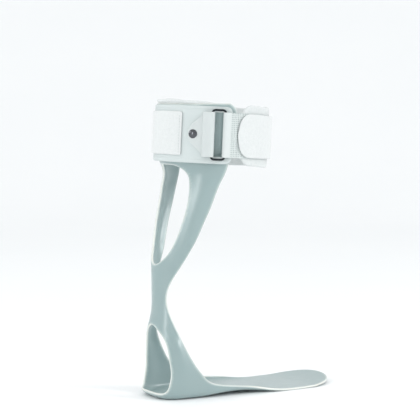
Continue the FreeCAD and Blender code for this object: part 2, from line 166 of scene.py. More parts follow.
def spline(knots_and_hole_shade, values, at):
    """Natural cubic spline through values (one row for each knot), read at the parameters in at."""
    knots_and_hole_shade, values, at = np.asarray(knots_and_hole_shade, float), np.asarray(values, float), np.asarray(at, float)
    shape = values.shape[1:]
    values = values.reshape(len(knots_and_hole_shade), -1)
    steps = np.diff(knots_and_hole_shade)
    matrix = np.eye(len(knots_and_hole_shade))
    right = np.zeros_like(values)
    for i in range(1, len(knots_and_hole_shade) - 1):
        matrix[i, i - 1:i + 2] = steps[i - 1], 2 * (steps[i - 1] + steps[i]), steps[i]
        right[i] = 6 * ((values[i + 1] - values[i]) / steps[i] - (values[i] - values[i - 1]) / steps[i - 1])
    bend = np.linalg.solve(matrix, right)
    i = np.clip(np.searchsorted(knots_and_hole_shade, at) - 1, 0, len(knots_and_hole_shade) - 2)
    h = steps[i][:, None]
    a = (knots_and_hole_shade[i + 1] - at)[:, None] / h
    b = 1 - a
    result = a * values[i] + b * values[i + 1]
    result += ((a ** 3 - a) * bend[i] + (b ** 3 - b) * bend[i + 1]) * h ** 2 / 6
    return result.reshape((len(at),) + shape)


def lengths(points):
    """Distance along a polyline from its first point to each point."""
    return np.concatenate([[0], np.cumsum(np.linalg.norm(np.diff(points, axis=0), axis=1))])


def even(points, count):
    """A polyline's points spaced evenly, with the same ends."""
    along = lengths(points)
    at = np.linspace(0, along[-1], count)
    return np.stack([np.interp(at, along, points[:, k]) for k in range(points.shape[1])], 1)


def half_section(apex, edge, half_width, squareness):
    """Evenly spaced (along, across) of a U section from its middle to one edge, along from 0 to 1."""
    depth = math.dist(apex, edge)
    sweep = min(0.5 * math.pi, max(0.05, 2 * math.atan2(depth, half_width)))
    power = 2 / squareness
    angle = np.linspace(0, 1, 400) ** squareness * sweep
    across = half_width * (np.sin(angle) / math.sin(sweep)) ** power
    along = (1 - np.cos(angle) ** power) / (1 - math.cos(sweep) ** power)
    spaced = even(np.stack([along * depth, across], 1), SIDE_POINTS + 1)
    return spaced / (depth, 1)


def section_points(section):
    """One U section of the shell's outer face, from the outer edge (-Y) round to the inner edge."""
    apex, edge, outer_half, inner_half, squareness = section
    sides = []
    for half_width, side in ((outer_half, -1), (inner_half, 1)):
        along, across = half_section(apex, edge, half_width, squareness).T
        sides.append(np.stack([apex[0] + (edge[0] - apex[0]) * along, side * across,
                               apex[1] + (edge[1] - apex[1]) * along], 1))
    return np.vstack([sides[0][:0:-1], sides[1]])


def band_section(height, angle, radius):
    """A section of the round band that reaches an angle to each side, in the form of the leg sections."""
    centre = BAND_MIDDLE.x + (height - BAND_MIDDLE.z) * math.tan(LEAN)
    half = radius * math.sin(math.radians(angle))
    edge = centre - radius * math.cos(math.radians(angle))
    return ((centre - radius, height), (edge, height), half, half, 2.0)


class ShellSurface:
    """The moulding's outer face. s runs in mm down the back of the leg and along the sole, and u from -1 at
    the outer edge to 1 at the inner edge."""

    def __init__(self):
        sections = [band_section(*values) for values in BAND_SECTIONS] + LEG_SECTIONS
        self.sections = np.array([section_points(section) for section in sections])
        gaps = np.linalg.norm(np.diff(self.sections, axis=0), axis=2).mean(1)
        self.stations = np.concatenate([[0], np.cumsum(gaps)])

    def rows(self, s):
        return spline(self.stations, self.sections, s)

    def points(self, s, u):
        """One row of points for each s, at that row's values of u."""
        rows = self.rows(s)
        position = np.clip((np.asarray(u) + 1) * SIDE_POINTS, 0, 2 * SIDE_POINTS - 1e-9)
        first = np.floor(position).astype(int)
        part = (position - first)[..., None]
        last = 2 * SIDE_POINTS
        pick = np.arange(len(rows))[:, None]
        p0, p1, p2, p3 = (rows[pick, np.clip(first + k, 0, last)] for k in (-1, 0, 1, 2))
        return p1 + 0.5 * part * (p2 - p0 + part * (2 * p0 - 5 * p1 + 4 * p2 - p3
                                                    + part * (3 * (p1 - p2) + p3 - p0)))

    def half_length(self, s):
        rows = self.rows(s)
        return np.linalg.norm(np.diff(rows, axis=1), axis=2).sum(1) / 2

    def locate(self, point, low, high):
        """(s, u) of the outer face's nearest point on the outer side, between two stations."""
        s = np.linspace(low, high, 260)
        u = np.linspace(-1, 0, 200)
        grid = self.points(s, np.tile(u, (len(s), 1)))
        i, j = np.unravel_index(np.argmin(((grid - point) ** 2).sum(2)), grid.shape[:2])
        return s[i], -u[j]


def opening_rim(surface, rim, low, high):
    """An opening's rim on its inner side, as even points (s, w) in mm, w being the distance from the middle.
    The wall's round rim is inset, so the opening grows by half a wall."""
    found = np.array([surface.locate(np.array([x, -half, z]), low, high) for x, half, z in rim])
    found[0, 1] = found[-1, 1] = 0
    flat = np.stack([found[:, 0], found[:, 1] * surface.half_length(found[:, 0])], 1)
    mirrored = flat * (1, -1)
    closed = np.vstack([mirrored[3:0:-1], flat, mirrored[-2:-5:-1]])
    along = lengths(closed)
    fine = spline(along, closed, np.linspace(along[3], along[-4], 400))
    way = np.gradient(fine, axis=0)
    way /= np.linalg.norm(way, axis=1)[:, None]
    fine += np.stack([-way[:, 1], way[:, 0]], 1) * 0.5 * WALL
    fine[0, 1] = fine[-1, 1] = 0
    return fine


def inside(loop, points):
    """Which points lie inside a closed plan loop, by counting crossings."""
    result = np.zeros(len(points), bool)
    for (x0, y0), (x1, y1) in zip(loop, np.roll(loop, -1, axis=0)):
        crosses = (y0 > points[:, 1]) != (y1 > points[:, 1])
        if y0 != y1:
            result ^= crosses & (points[:, 0] < (x1 - x0) * (points[:, 1] - y0) / (y1 - y0) + x0)
    return result


def open_hole(bm, rim):
    """Cuts an opening into the flat plan mesh and eases the cells around it onto the opening's rim."""
    loop = np.vstack([rim, rim[-2:0:-1] * (1, -1)])
    centres = np.array([face.calc_center_median()[:2] for face in bm.faces])
    gone = [face for face, lost in zip(bm.faces, inside(loop, centres)) if lost]
    bmesh.ops.delete(bm, geom=gone, context="FACES")
    bm.verts.index_update()
    bm.edges.index_update()
    border = min(boundary_loops(bm), key=lambda verts: sum((v.co - Vector((*rim.mean(0), 0))).length
                                                           for v in verts) / len(verts))
    around = np.vstack([loop, loop[:1]])
    along = lengths(around)
    total = along[-1]
    places = np.array([along[np.argmin(((loop - vertex.co[:2]) ** 2).sum(1))] for vertex in border])
    steps = (np.diff(places, append=places[0]) + total / 2) % total - total / 2
    way = 1 if steps.sum() > 0 else -1
    start = places[0]
    spread = way * total * np.arange(len(border)) / len(border)
    offset = (places - start - spread + total / 2) % total - total / 2
    for _ in range(40):
        offset = 0.5 * offset + 0.25 * (np.roll(offset, 1) + np.roll(offset, -1))
    places = (start + offset + spread) % total
    for vertex, place in zip(border, places):
        vertex.co = (np.interp(place, along, around[:, 0]), np.interp(place, along, around[:, 1]), 0)
    fixed = set(border)
    near, front = [], set(border)
    for _ in range(5):
        front = {edge.other_vert(vertex) for vertex in front for edge in vertex.link_edges}
        front = {vertex for vertex in front if vertex not in fixed and not vertex.is_boundary}
        fixed |= front
        near += sorted(front, key=lambda vertex: vertex.index)
    for _ in range(40):
        eased = [sum((edge.other_vert(vertex).co for edge in vertex.link_edges), Vector())
                 / len(vertex.link_edges) for vertex in near]
        for vertex, place in zip(near, eased):
            vertex.co = vertex.co * 0.3 + place * 0.7


def toe_patch(last_row):
    """Rows of points from the last straight row of the sole out to the rounded toe edge."""
    x, z = np.array([section[0] for section in LEG_SECTIONS[-7:]]).T
    outline = np.array(TOE_OUTLINE)
    centre = np.array([TOE_START, TOE_MIDDLE])
    outline = centre + (outline - centre) * (1 - 0.5 * WALL / TOE_RADIUS)
    dense = spline(lengths(outline), outline, np.linspace(0, lengths(outline)[-1], 300))
    edge = even(dense, last_row.shape[0])
    rows = []
    count = int((edge[:, 0].max() - TOE_START) / ROW_STEP)
    for step in range(1, count + 1):
        part = step / count
        plan = last_row[:, :2] * (1 - part) + edge * part
        lift = spline(x, z[:, None], plan[:, 0])[:, 0]
        rows.append(np.column_stack([plan, lift + (last_row[:, 2] - last_row[:, 2].min()) * (1 - part)]))
    return rows


# ---------------------------------------------------------------- meshes

def new_object(name, bm):
    mesh = bpy.data.meshes.new(name)
    bm.to_mesh(mesh)
    bm.free()
    mesh.transform(Matrix.Scale(MM, 4))
    for polygon in mesh.polygons:
        polygon.use_smooth = True
    obj = bpy.data.objects.new(name, mesh)
    bpy.context.scene.collection.objects.link(obj)
    return obj


def boundary_loops(bm):
    """Closed loops of vertices along a sheet's open edges."""
    left = {edge for edge in bm.edges if edge.is_boundary}
    loops = []
    while left:
        edge = min(left, key=lambda e: e.index)
        left.discard(edge)
        start, here = edge.verts
        loop = [start, here]
        while here is not start:
            edge = next(e for e in here.link_edges if e in left)
            left.discard(edge)
            here = edge.other_vert(here)
            if here is not start:
                loop.append(here)
        loops.append(loop)
    return loops


def thick_skin(bm, thickness, centred=True):
    """Turns an open sheet into a closed wall with half-round rims. thickness is one number or one for each
    vertex. A sheet that is not centred is the wall's outer face, with its normals pointing inwards."""
    bm.normal_update()
    bm.verts.index_update()
    bm.verts.ensure_lookup_table()
    bm.edges.index_update()
    flat = bm.verts.layers.float_vector.get("flat") or bm.verts.layers.float_vector.new("flat")
    # Weight across each half-round rim, 1 at its middle: the shell's material paints a highlight by it
    rim = bm.verts.layers.float.new("rim")
    count = len(bm.verts)
    walls = np.broadcast_to(np.asarray(thickness, float), (count,))
    normals = [vertex.normal.copy() for vertex in bm.verts]
    middles = [vertex.co + normals[i] * (0 if centred else 0.5 * walls[i])
               for i, vertex in enumerate(bm.verts)]
    loops = boundary_loops(bm)
    outs = {}
    for loop in loops:
        for i, vertex in enumerate(loop):
            way = middles[loop[(i + 1) % len(loop)].index] - middles[loop[i - 1].index]
            out = way.cross(normals[vertex.index]).normalized()
            face_centre = sum((face.calc_center_median() for face in vertex.link_faces), Vector())
            face_centre /= len(vertex.link_faces)
            if out.dot(face_centre - vertex.co) > 0:
                out = -out
            outs[vertex.index] = out
    faces = [[vertex.index for vertex in face.verts] for face in bm.faces]
    for i, vertex in enumerate(bm.verts):
        vertex.co = middles[i] - normals[i] * 0.5 * walls[i]
    originals = list(bm.verts)
    backs = []
    for i in range(count):
        back = bm.verts.new(middles[i] + normals[i] * 0.5 * walls[i])
        back[flat] = originals[i][flat]
        backs.append(back)
    for face in list(bm.faces):
        face.normal_flip()
    for face in faces:
        bm.faces.new([backs[i] for i in face])
    for loop in loops:
        rings = []
        for vertex in loop:
            i = vertex.index
            ring = [originals[i]]
            for step in range(1, RIM_STEPS):
                angle = math.pi * step / RIM_STEPS
                way = normals[i] * math.cos(angle) - outs[i] * math.sin(angle)
                corner = bm.verts.new(middles[i] - way * 0.5 * walls[i])
                corner[flat] = originals[i][flat]
                corner[rim] = math.sin(angle)
                ring.append(corner)
            ring.append(backs[i])
            originals[i][rim] = backs[i][rim] = 0.3
            rings.append(ring)
        for one, other in zip(rings, rings[1:] + rings[:1]):
            for step in range(RIM_STEPS):
                bm.faces.new([one[step], other[step], other[step + 1], one[step + 1]])
    bmesh.ops.recalc_face_normals(bm, faces=bm.faces)
    return bm


def grid_sheet(rows, flats=None):
    """A sheet through rows of points, with flat material coordinates in metres."""
    bm = bmesh.new()
    layer = bm.verts.layers.float_vector.new("flat")
    table = []
    for i, row in enumerate(rows):
        line = []
        for j, point in enumerate(row):
            vertex = bm.verts.new(point)
            if flats is not None:
                vertex[layer] = flats[i][j]
            line.append(vertex)
        table.append(line)
    for one, other in zip(table, table[1:]):
        for j in range(len(one) - 1):
            bm.faces.new([one[j], one[j + 1], other[j + 1], other[j]])
    return bm


def shell_mesh():
    """The whole moulding as one sheet with two openings, thickened inwards with round rims."""
    surface = ShellSurface()
    leg = surface.stations[len(BAND_SECTIONS):]
    fork = opening_rim(surface, FORK_RIM, surface.stations[FORK_FIRST], leg[FORK_LAST])
    heel = opening_rim(surface, HEEL_RIM, leg[HEEL_FIRST], leg[HEEL_LAST])
    end = leg[TOE_SECTION]
    s = np.linspace(0.5 * WALL, end, int(end / ROW_STEP) + 1)
    half = surface.half_length(s)
    share = np.linspace(-1, 1, 2 * COLUMNS + 1)
    bm = bmesh.new()
    flat = bm.verts.layers.float_vector.new("flat")
    table = [[bm.verts.new((s[i], w, 0)) for w in (half[i] - 0.5 * WALL) * share] for i in range(len(s))]
    for one, other in zip(table, table[1:]):
        for j in range(2 * COLUMNS):
            bm.faces.new([one[j], other[j], other[j + 1], one[j + 1]])
    for rim in (fork, heel):
        open_hole(bm, rim)
    for vertex in [vertex for vertex in bm.verts if not vertex.link_faces]:
        bm.verts.remove(vertex)
    verts = list(bm.verts)
    plan = np.array([vertex.co[:2] for vertex in verts])
    edge = np.interp(plan[:, 0], s, half)
    places = surface.points(plan[:, 0], (plan[:, 1] / edge)[:, None])[:, 0]
    ridge = np.zeros(len(verts))
    for rim in (fork, heel):
        within = (plan[:, 0] > rim[0, 0]) & (plan[:, 0] < rim[-1, 0])
        side = np.interp(plan[:, 0], rim[:, 0], rim[:, 1])
        part = np.clip((np.abs(plan[:, 1]) - side) / np.maximum(edge - side, 1), 0, 1)
        fade = np.clip(np.minimum(plan[:, 0] - rim[0, 0], rim[-1, 0] - plan[:, 0]) / 25, 0, 1)
        ridge += within * np.sin(math.pi * part) ** 2 * fade
    for vertex, (along, across), place in zip(verts, plan, places):
        vertex[flat] = (along * MM, across * MM, 0)
        vertex.co = place
    for row in toe_patch(np.array([vertex.co for vertex in table[-1]])):
        line = [bm.verts.new(point) for point in row]
        for vertex, point in zip(line, row):
            vertex[flat] = (point[0] * MM, point[1] * MM, 0)
        last = table[-1]
        for j in range(2 * COLUMNS):
            bm.faces.new([last[j], line[j], line[j + 1], last[j + 1]])
        table.append(line)
    bm.normal_update()
    if table[0][COLUMNS].normal.x < 0:
        bmesh.ops.reverse_faces(bm, faces=bm.faces)
        bm.normal_update()
    for vertex, height in zip(verts, ridge):
        vertex.co -= vertex.normal * RIDGE_HEIGHT * height
    for vertex in bm.verts:
        vertex.co.z = max(vertex.co.z, 0.0)
    return thick_skin(bm, WALL, centred=False)


# ---------------------------------------------------------------- the calf band's frame

BAND_MATRIX = Matrix.Translation(BAND_MIDDLE) @ Matrix.Rotation(LEAN, 4, "Y")


def polar(radius, angle, height=0.0):
    """Row-frame point at an angle from the back of the leg towards its outer side."""
    turn = math.radians(angle)
    return BAND_MATRIX @ Vector((-radius * math.cos(turn), -radius * math.sin(turn), height))


def arc_path(radius, start, end, step=1.6, centre=(0.0, 0.0)):
    """Plan points along an arc of the band's frame, evenly spaced."""
    count = max(2, int(abs(math.radians(end - start)) * radius / step))
    turn = np.radians(np.linspace(start, end, count + 1))
    return np.stack([centre[0] - radius * np.cos(turn), centre[1] - radius * np.sin(turn)], 1)


def ribbon_sheet(path, low, high, columns=24):
    """A sheet that stands on a plan path of the band's frame, between two heights for each path point."""
    along = lengths(path)
    low, high = (np.broadcast_to(np.asarray(value, float), along.shape) for value in (low, high))
    rows, flats = [], []
    for i, (x, y) in enumerate(path):
        heights = np.linspace(low[i], high[i], columns + 1)
        rows.append([BAND_MATRIX @ Vector((x, y, height)) for height in heights])
        flats.append([(along[i] * MM, height * MM, 0) for height in heights])
    return grid_sheet(rows, flats)


def round_end(distance, half_width, depth, power=2.3):
    """Half width of a strap at a distance from its rounded end."""
    part = np.clip(1 - np.asarray(distance) / depth, 0, 1)
    return half_width * np.maximum((1 - part ** power) ** (1 / power), 0.06)


def ring_bar(side):
    """Plan point of the ring's rear (-1) or front (1) bar in the band's frame."""
    turn = math.radians(RING_ANGLE)
    radial = np.array([-math.cos(turn), -math.sin(turn)])
    tangent = np.array([-radial[1], radial[0]])
    return radial * RING_RADIUS + tangent * side * 0.5 * RING_WIDTH


def bearing(point):
    """Angle of a plan point of the band's frame, from the back towards the outer side."""
    return math.degrees(math.atan2(-point[1], -point[0]))


def stitches(name, spots, thread=0.28, length=2.2):
    """Sewn stitches as short bent capsules. spots are (middle, direction, outward) in mm."""
    bm = bmesh.new()
    for middle, way, outward in spots:
        way, outward = way.normalized(), outward.normalized()
        across = way.cross(outward).normalized()
        rings = []
        for step in range(7):
            part = step / 6 * 2 - 1
            size = thread * math.sqrt(max(0.02, 1 - part ** 6))
            centre = middle + way * part * 0.5 * length - outward * (0.35 * part ** 2 - 0.12)
            rings.append([bm.verts.new(centre + (across * math.cos(a) + outward * math.sin(a)) * size)
                          for a in (k * math.pi / 3 for k in range(6))])
        for one, other in zip(rings, rings[1:]):
            for k in range(6):
                bm.faces.new([one[k], one[(k + 1) % 6], other[(k + 1) % 6], other[k]])
        bm.faces.new(rings[0][::-1])
        bm.faces.new(rings[-1])
    bmesh.ops.recalc_face_normals(bm, faces=bm.faces)
    return new_object(name, bm)


# ---------------------------------------------------------------- materials

def make_material(name, colour, roughness, **sockets):
    material = bpy.data.materials.new(name)
    material.use_nodes = True
    shader = material.node_tree.nodes["Principled BSDF"]
    shader.inputs["Base Color"].default_value = (*colour, 1)
    shader.inputs["Roughness"].default_value = roughness
    for key, value in sockets.items():
        shader.inputs[key.replace("_", " ")].default_value = value
    return material


def node(material, kind, **values):
    made = material.node_tree.nodes.new(kind)
    for key, value in values.items():
        if hasattr(made, key):
            setattr(made, key, value)
        else:
            made.inputs[key.replace("_", " ")].default_value = value
    return made


def link(material, source, target):
    material.node_tree.links.new(source, target)


def shader_of(material):
    return material.node_tree.nodes["Principled BSDF"]


def position(material, flat=False):
    """Vector to drive a texture: the object's own space, or the flat coordinates of a strap."""
    if flat:
        return node(material, "ShaderNodeAttribute", attribute_name="flat").outputs["Vector"]
    return node(material, "ShaderNodeTexCoord").outputs["Object"]


def noise_texture(material, scale, detail=3.0, roughness=0.55):
    made = node(material, "ShaderNodeTexNoise", Scale=scale, Detail=detail, Roughness=roughness)
    link(material, position(material), made.inputs["Vector"])
    return made.outputs["Fac"]


def mix_colour(material, factor, one, other):
    """Mix of two colours, of which the first may come from another node."""
    made = node(material, "ShaderNodeMix", data_type="RGBA")
    if isinstance(one, tuple):
        made.inputs[6].default_value = (*one, 1)
    else:
        link(material, one, made.inputs[6])
    made.inputs[7].default_value = (*other, 1)
    link(material, factor, made.inputs[0])
    return made.outputs[2]


def math_node(material, operation, *values):
    made = node(material, "ShaderNodeMath", operation=operation)
    for socket, value in zip(made.inputs, values):
        if isinstance(value, (int, float)):
            socket.default_value = value
        else:
            link(material, value, socket)
    return made.outputs[0]


def bump(material, height, strength, distance):
    made = node(material, "ShaderNodeBump", Strength=strength, Distance=distance)
    link(material, height, made.inputs["Height"])
    link(material, made.outputs["Normal"], shader_of(material).inputs["Normal"])


def ramp(material, factor, stops):
    made = node(material, "ShaderNodeValToRGB")
    elements = made.color_ramp.elements
    while len(elements) < len(stops):
        elements.new(0.5)
    for element, (place, colour) in zip(elements, stops):
        element.position = place
        element.color = (*colour, 1)
    link(material, factor, made.inputs["Fac"])
    return made.outputs["Color"]


def shell_material():
    """Translucent pale blue-grey polypropylene, faintly wavy moulded surface, painted rim highlights."""
    material = make_material("polypropylene", (0.296, 0.388, 0.390), 0.3, Transmission_Weight=0.1,
                             Subsurface_Weight=0.2, Subsurface_Scale=0.006, Coat_Weight=0.4,
                             Coat_Roughness=0.25)
    shader_of(material).inputs["Subsurface Radius"].default_value = (0.7, 0.9, 1.0)
    # Pale cream mixed onto the rims, strongest at each rim's middle: a painted highlight
    rim = node(material, "ShaderNodeAttribute", attribute_name="rim").outputs["Fac"]
    cloud = noise_texture(material, 22, 4)
    body = mix_colour(material, cloud, (0.272, 0.365, 0.366), (0.320, 0.412, 0.413))
    body_and_rim_highlight = mix_colour(material, rim, body, (0.80, 0.82, 0.77))
    link(material, body_and_rim_highlight, shader_of(material).inputs["Base Color"])
    grain = noise_texture(material, 900, 2)
    rough = node(material, "ShaderNodeMapRange")
    rough.inputs["To Min"].default_value = 0.24
    rough.inputs["To Max"].default_value = 0.38
    link(material, noise_texture(material, 130, 5), rough.inputs["Value"])
    link(material, rough.outputs["Result"], shader_of(material).inputs["Roughness"])
    waves = math_node(material, "ADD", cloud, math_node(material, "MULTIPLY", grain, 0.02))
    bump(material, waves, 0.25, 0.002)
    return material


def fleece_material(name, colour, shade):
    """Brushed loop fabric: short tangled pile with a soft sheen."""
    material = make_material(name, colour, 0.95, Sheen_Weight=0.35, Sheen_Roughness=0.6)
    pile = noise_texture(material, 1500, 4, 0.7)
    tufts = noise_texture(material, 420, 3, 0.6)
    height = math_node(material, "ADD", math_node(material, "MULTIPLY", pile, 0.6), tufts)
    cloth = ramp(material, tufts, [(0.25, shade), (0.62, colour)])
    link(material, cloth, shader_of(material).inputs["Base Color"])
    bump(material, height, 0.55, 0.0006)
    return material


def weave_height(material, pitch_along, pitch_across):
    """Height of a plain weave in a strap's flat coordinates."""
    parts = node(material, "ShaderNodeSeparateXYZ")
    link(material, position(material, flat=True), parts.inputs[0])
    waves = []
    for axis, pitch in (("X", pitch_along), ("Y", pitch_across)):
        phase = math_node(material, "MULTIPLY", parts.outputs[axis], 2 * math.pi / pitch)
        waves.append(math_node(material, "SINE", phase))
    return waves


def edge_groove(material, half_length, half_width, corner, inset, width):
    """1 along a line that runs inside a round-cornered rectangle's edge in the flat coordinates, else 0."""
    parts = node(material, "ShaderNodeSeparateXYZ")
    link(material, position(material, flat=True), parts.inputs[0])
    squares = []
    for axis, half in (("X", half_length), ("Y", half_width)):
        size = math_node(material, "ABSOLUTE", parts.outputs[axis])
        over = math_node(material, "MAXIMUM", math_node(material, "SUBTRACT", size, half - corner), 0.0)
        squares.append(math_node(material, "POWER", over, 2.0))
    reach = math_node(material, "SQRT", math_node(material, "ADD", *squares))
    off = math_node(material, "ABSOLUTE", math_node(material, "SUBTRACT", reach, corner - inset))
    return math_node(material, "MAXIMUM", math_node(material, "SUBTRACT", 1.0, math_node(
        material, "MULTIPLY", off, 1 / width)), 0.0)


def coated_material():
    """Smooth white coated fabric with a fine leather-like grain."""
    material = make_material("coated_cover", (0.54, 0.593, 0.59), 0.55, Sheen_Weight=0.1)
    grain = node(material, "ShaderNodeTexVoronoi", Scale=1100.0)
    link(material, position(material), grain.inputs["Vector"])
    groove = edge_groove(material, half_length=0.0899, half_width=0.030, corner=0.010, inset=0.0032,
                         width=0.0007)
    creases = noise_texture(material, 60, 4)
    link(material, mix_colour(material, creases, (0.515, 0.573, 0.57), (0.564, 0.614, 0.61)),
         shader_of(material).inputs["Base Color"])
    folds = math_node(material, "MULTIPLY", creases, 4.0)
    height = math_node(material, "ADD", grain.outputs["Distance"], folds)
    height = math_node(material, "SUBTRACT", height, math_node(material, "MULTIPLY", groove, 5.0))
    bump(material, height, 0.22, 0.0005)
    return material


def webbing_material():
    """Close-woven white webbing."""
    material = make_material("webbing", (0.60, 0.645, 0.642), 0.7, Sheen_Weight=0.15)
    along, across = weave_height(material, 0.0011, 0.0011)
    weave = math_node(material, "MULTIPLY", along, across)
    soil = noise_texture(material, 45, 4)
    link(material, mix_colour(material, soil, (0.568, 0.615, 0.612), (0.628, 0.667, 0.664)),
         shader_of(material).inputs["Base Color"])
    bump(material, weave, 0.5, 0.0003)
    return material


def mesh_material():
    """Spacer mesh: rows of small round holes, painted grey as shade, between pale knots. The stretch that is
    rolled round the ring's bar is painted plain and pale as a highlight, and its holes are bumped shallower."""
    material = make_material("spacer_mesh", (0.57, 0.617, 0.607), 0.75, Sheen_Weight=0.15)
    along, across = weave_height(material, 0.0021, 0.0021)
    holes = math_node(material, "ADD", along, across)
    # Dark grey where the weave's holes are bumped deepest: painted shade in the holes
    knots_and_hole_shade = ramp(material, math_node(material, "MULTIPLY_ADD", holes, 0.25, 0.5),
                 [(0.0, (0.617, 0.665, 0.655)), (0.62, (0.586, 0.633, 0.623)), (0.85, (0.345, 0.40, 0.397))])
    parts = node(material, "ShaderNodeSeparateXYZ")
    link(material, position(material, flat=True), parts.inputs[0])
    # Over the rolled stretch the holes' grey gives way to one plain pale colour: a painted highlight on the
    # roll
    painted_roll_highlight = node(material, "ShaderNodeMapRange")
    painted_roll_highlight.inputs["From Min"].default_value = ROLL_REACH + ROLL_FADE
    painted_roll_highlight.inputs["From Max"].default_value = ROLL_REACH - ROLL_FADE
    off = math_node(material, "ABSOLUTE", math_node(material, "SUBTRACT", parts.outputs["X"], ROLL_MIDDLE))
    link(material, off, painted_roll_highlight.inputs["Value"])
    cloth = mix_colour(material, painted_roll_highlight.outputs["Result"], knots_and_hole_shade, (0.60, 0.637, 0.632))
    link(material, cloth, shader_of(material).inputs["Base Color"])
    hole_depth_share = math_node(material, "MULTIPLY_ADD", painted_roll_highlight.outputs["Result"], -0.8, 1.0)
    depth = math_node(material, "MULTIPLY", holes, hole_depth_share)
    bump(material, math_node(material, "MULTIPLY", depth, -0.5), 0.5, 0.0005)
    return material


def metal_material(name, colour, roughness):
    """Polished metal with fine rubbing marks."""
    material = make_material(name, colour, roughness, Metallic=1.0)
    marks = node(material, "ShaderNodeMapRange")
    marks.inputs["To Min"].default_value = roughness * 0.7
    marks.inputs["To Max"].default_value = roughness * 1.6
    link(material, noise_texture(material, 700, 5, 0.7), marks.inputs["Value"])
    link(material, marks.outputs["Result"], shader_of(material).inputs["Roughness"])
    bump(material, noise_texture(material, 250, 2), 0.05, 0.0002)
    return material


def hook_material():
    """Nylon hook tape: rows of tiny stiff hooks."""
    material = make_material("hook_tape", (0.85, 0.87, 0.87), 0.5)
    dots = node(material, "ShaderNodeTexVoronoi", Scale=900.0)
    link(material, position(material), dots.inputs["Vector"])
    hooks = ramp(material, dots.outputs["Distance"], [(0.2, (0.9, 0.92, 0.92)), (0.6, (0.6, 0.63, 0.63))])
    link(material, hooks, shader_of(material).inputs["Base Color"])
    bump(material, dots.outputs["Distance"], 0.8, 0.0006)
    return material


def thread_material():
    """Twisted white sewing thread."""
    material = make_material("thread", (0.60, 0.634, 0.632), 0.6, Sheen_Weight=0.2)
    twist = node(material, "ShaderNodeTexWave", Scale=900.0, Distortion=1.5)
    link(material, position(material), twist.inputs["Vector"])
    link(material, mix_colour(material, twist.outputs["Fac"], (0.51, 0.546, 0.544), (0.65, 0.686, 0.684)),
         shader_of(material).inputs["Base Color"])
    bump(material, twist.outputs["Fac"], 0.4, 0.0001)
    return material


def paint(obj, material):
    obj.data.materials.clear()
    obj.data.materials.append(material)


# ---------------------------------------------------------------- soft goods

def settle(obj, cap, pressure=3.0, frames=14):
    """Swells a pad with cloth simulation, moving no point further than cap, in metres."""
    scene = bpy.context.scene
    before = np.array([vertex.co for vertex in obj.data.vertices])
    cloth = obj.modifiers.new("swell", "CLOTH")
    settings = cloth.settings
    settings.use_pressure = True
    settings.uniform_pressure_force = pressure
    settings.effector_weights.gravity = 0
    settings.quality = 6
    settings.tension_stiffness = settings.compression_stiffness = 25
    settings.bending_stiffness = 2
    for frame_number in range(1, frames + 1):
        scene.frame_set(frame_number)
    evaluated = obj.evaluated_get(bpy.context.evaluated_depsgraph_get())
    after = np.array([vertex.co for vertex in evaluated.data.vertices])
    obj.modifiers.remove(cloth)
    scene.frame_set(1)
    move = after - before
    distance = np.linalg.norm(move, axis=1)
    move *= np.minimum(1, cap / np.maximum(distance, 1e-9))[:, None]
    obj.data.vertices.foreach_set("co", (before + move).ravel())
    obj.data.update()


def fuzz(obj, amount, scale, seed):
    """Moves points in and out along their normals by smooth noise, for the uneven face of a pile fabric."""
    mesh = obj.data
    for vertex in mesh.vertices:
        spot = vertex.co * scale + Vector((seed, 0, 0))
        vertex.co += vertex.normal * amount * noise.noise(spot)
    mesh.update()


def smooth(obj, levels=1):
    modifier = obj.modifiers.new("rounder", "SUBSURF")
    modifier.levels = modifier.render_levels = levels


def calf_pad():
    """Thick fuzzy pad inside the band, standing above the shell's edge at the back."""
    path = arc_path(PAD_RADIUS, -PAD_LIMIT, PAD_LIMIT, 2.4)
    angles = np.linspace(-PAD_LIMIT, PAD_LIMIT, len(path))
    corner = round_end(np.radians(PAD_LIMIT - np.abs(angles)) * PAD_RADIUS, 1.0, 9.0)
    wave = 0.4 * np.sin(np.radians(angles) * 9)
    proud = 2.4 * np.clip((62 - np.abs(angles)) / 40, 0, 1)
    high = 33.5 * (0.75 + 0.25 * corner) + wave + proud - 0.5
    low = -28.5 * (0.8 + 0.2 * corner) - wave
    bm = ribbon_sheet(path, low, high, 26)
    layer = bm.verts.layers.float_vector["flat"]
    along, heights = np.array([vertex[layer][:2] for vertex in bm.verts]).T / MM
    pull = np.interp(heights, [-30, -16, 0, 10], [4.3, 1.6, 0.2, 0.0])
    bearings = np.degrees(along / PAD_RADIUS) - PAD_LIMIT
    lip = np.clip((heights - 31.8) / 2.4, 0, 1) * np.clip((62 - np.abs(bearings)) / 22, 0, 1)
    pull -= 3.3 * lip ** 1.5
    axis = BAND_MATRIX.to_3x3() @ Vector((0, 0, 1))
    for vertex, amount in zip(bm.verts, pull):
        out = vertex.co - BAND_MIDDLE
        out -= axis * out.dot(axis)
        vertex.co -= out.normalized() * float(amount)
    obj = new_object("calf_pad_fleece", thick_skin(bm, PAD_WALL))
    settle(obj, cap=0.0007)
    fuzz(obj, amount=0.0003, scale=330.0, seed=1.0)
    smooth(obj)
    return obj


def shin_pad():
    """Wide soft pad over the shin with rounded ends and a slightly wavy edge."""
    path = arc_path(SHIN_RADIUS, *SHIN_ANGLES, 2.4)
    along = lengths(path)
    ends = np.minimum(round_end(along, 1.0, SHIN_CORNER), round_end(along[-1] - along, 1.0, SHIN_CORNER))
    wave = 0.9 * np.sin(along / 11.0) * np.clip(along / 30, 0, 1)
    high = SHIN_HALF_HEIGHT * ends + wave * ends
    low = -SHIN_HALF_HEIGHT * ends + 0.6 * np.sin(along / 14.0 + 1.0) * ends
    obj = new_object("shin_pad_fleece", thick_skin(ribbon_sheet(path, low, high, 26), SHIN_WALL))
    settle(obj, cap=0.0006)
    fuzz(obj, amount=0.0003, scale=330.0, seed=2.0)
    smooth(obj)
    return obj


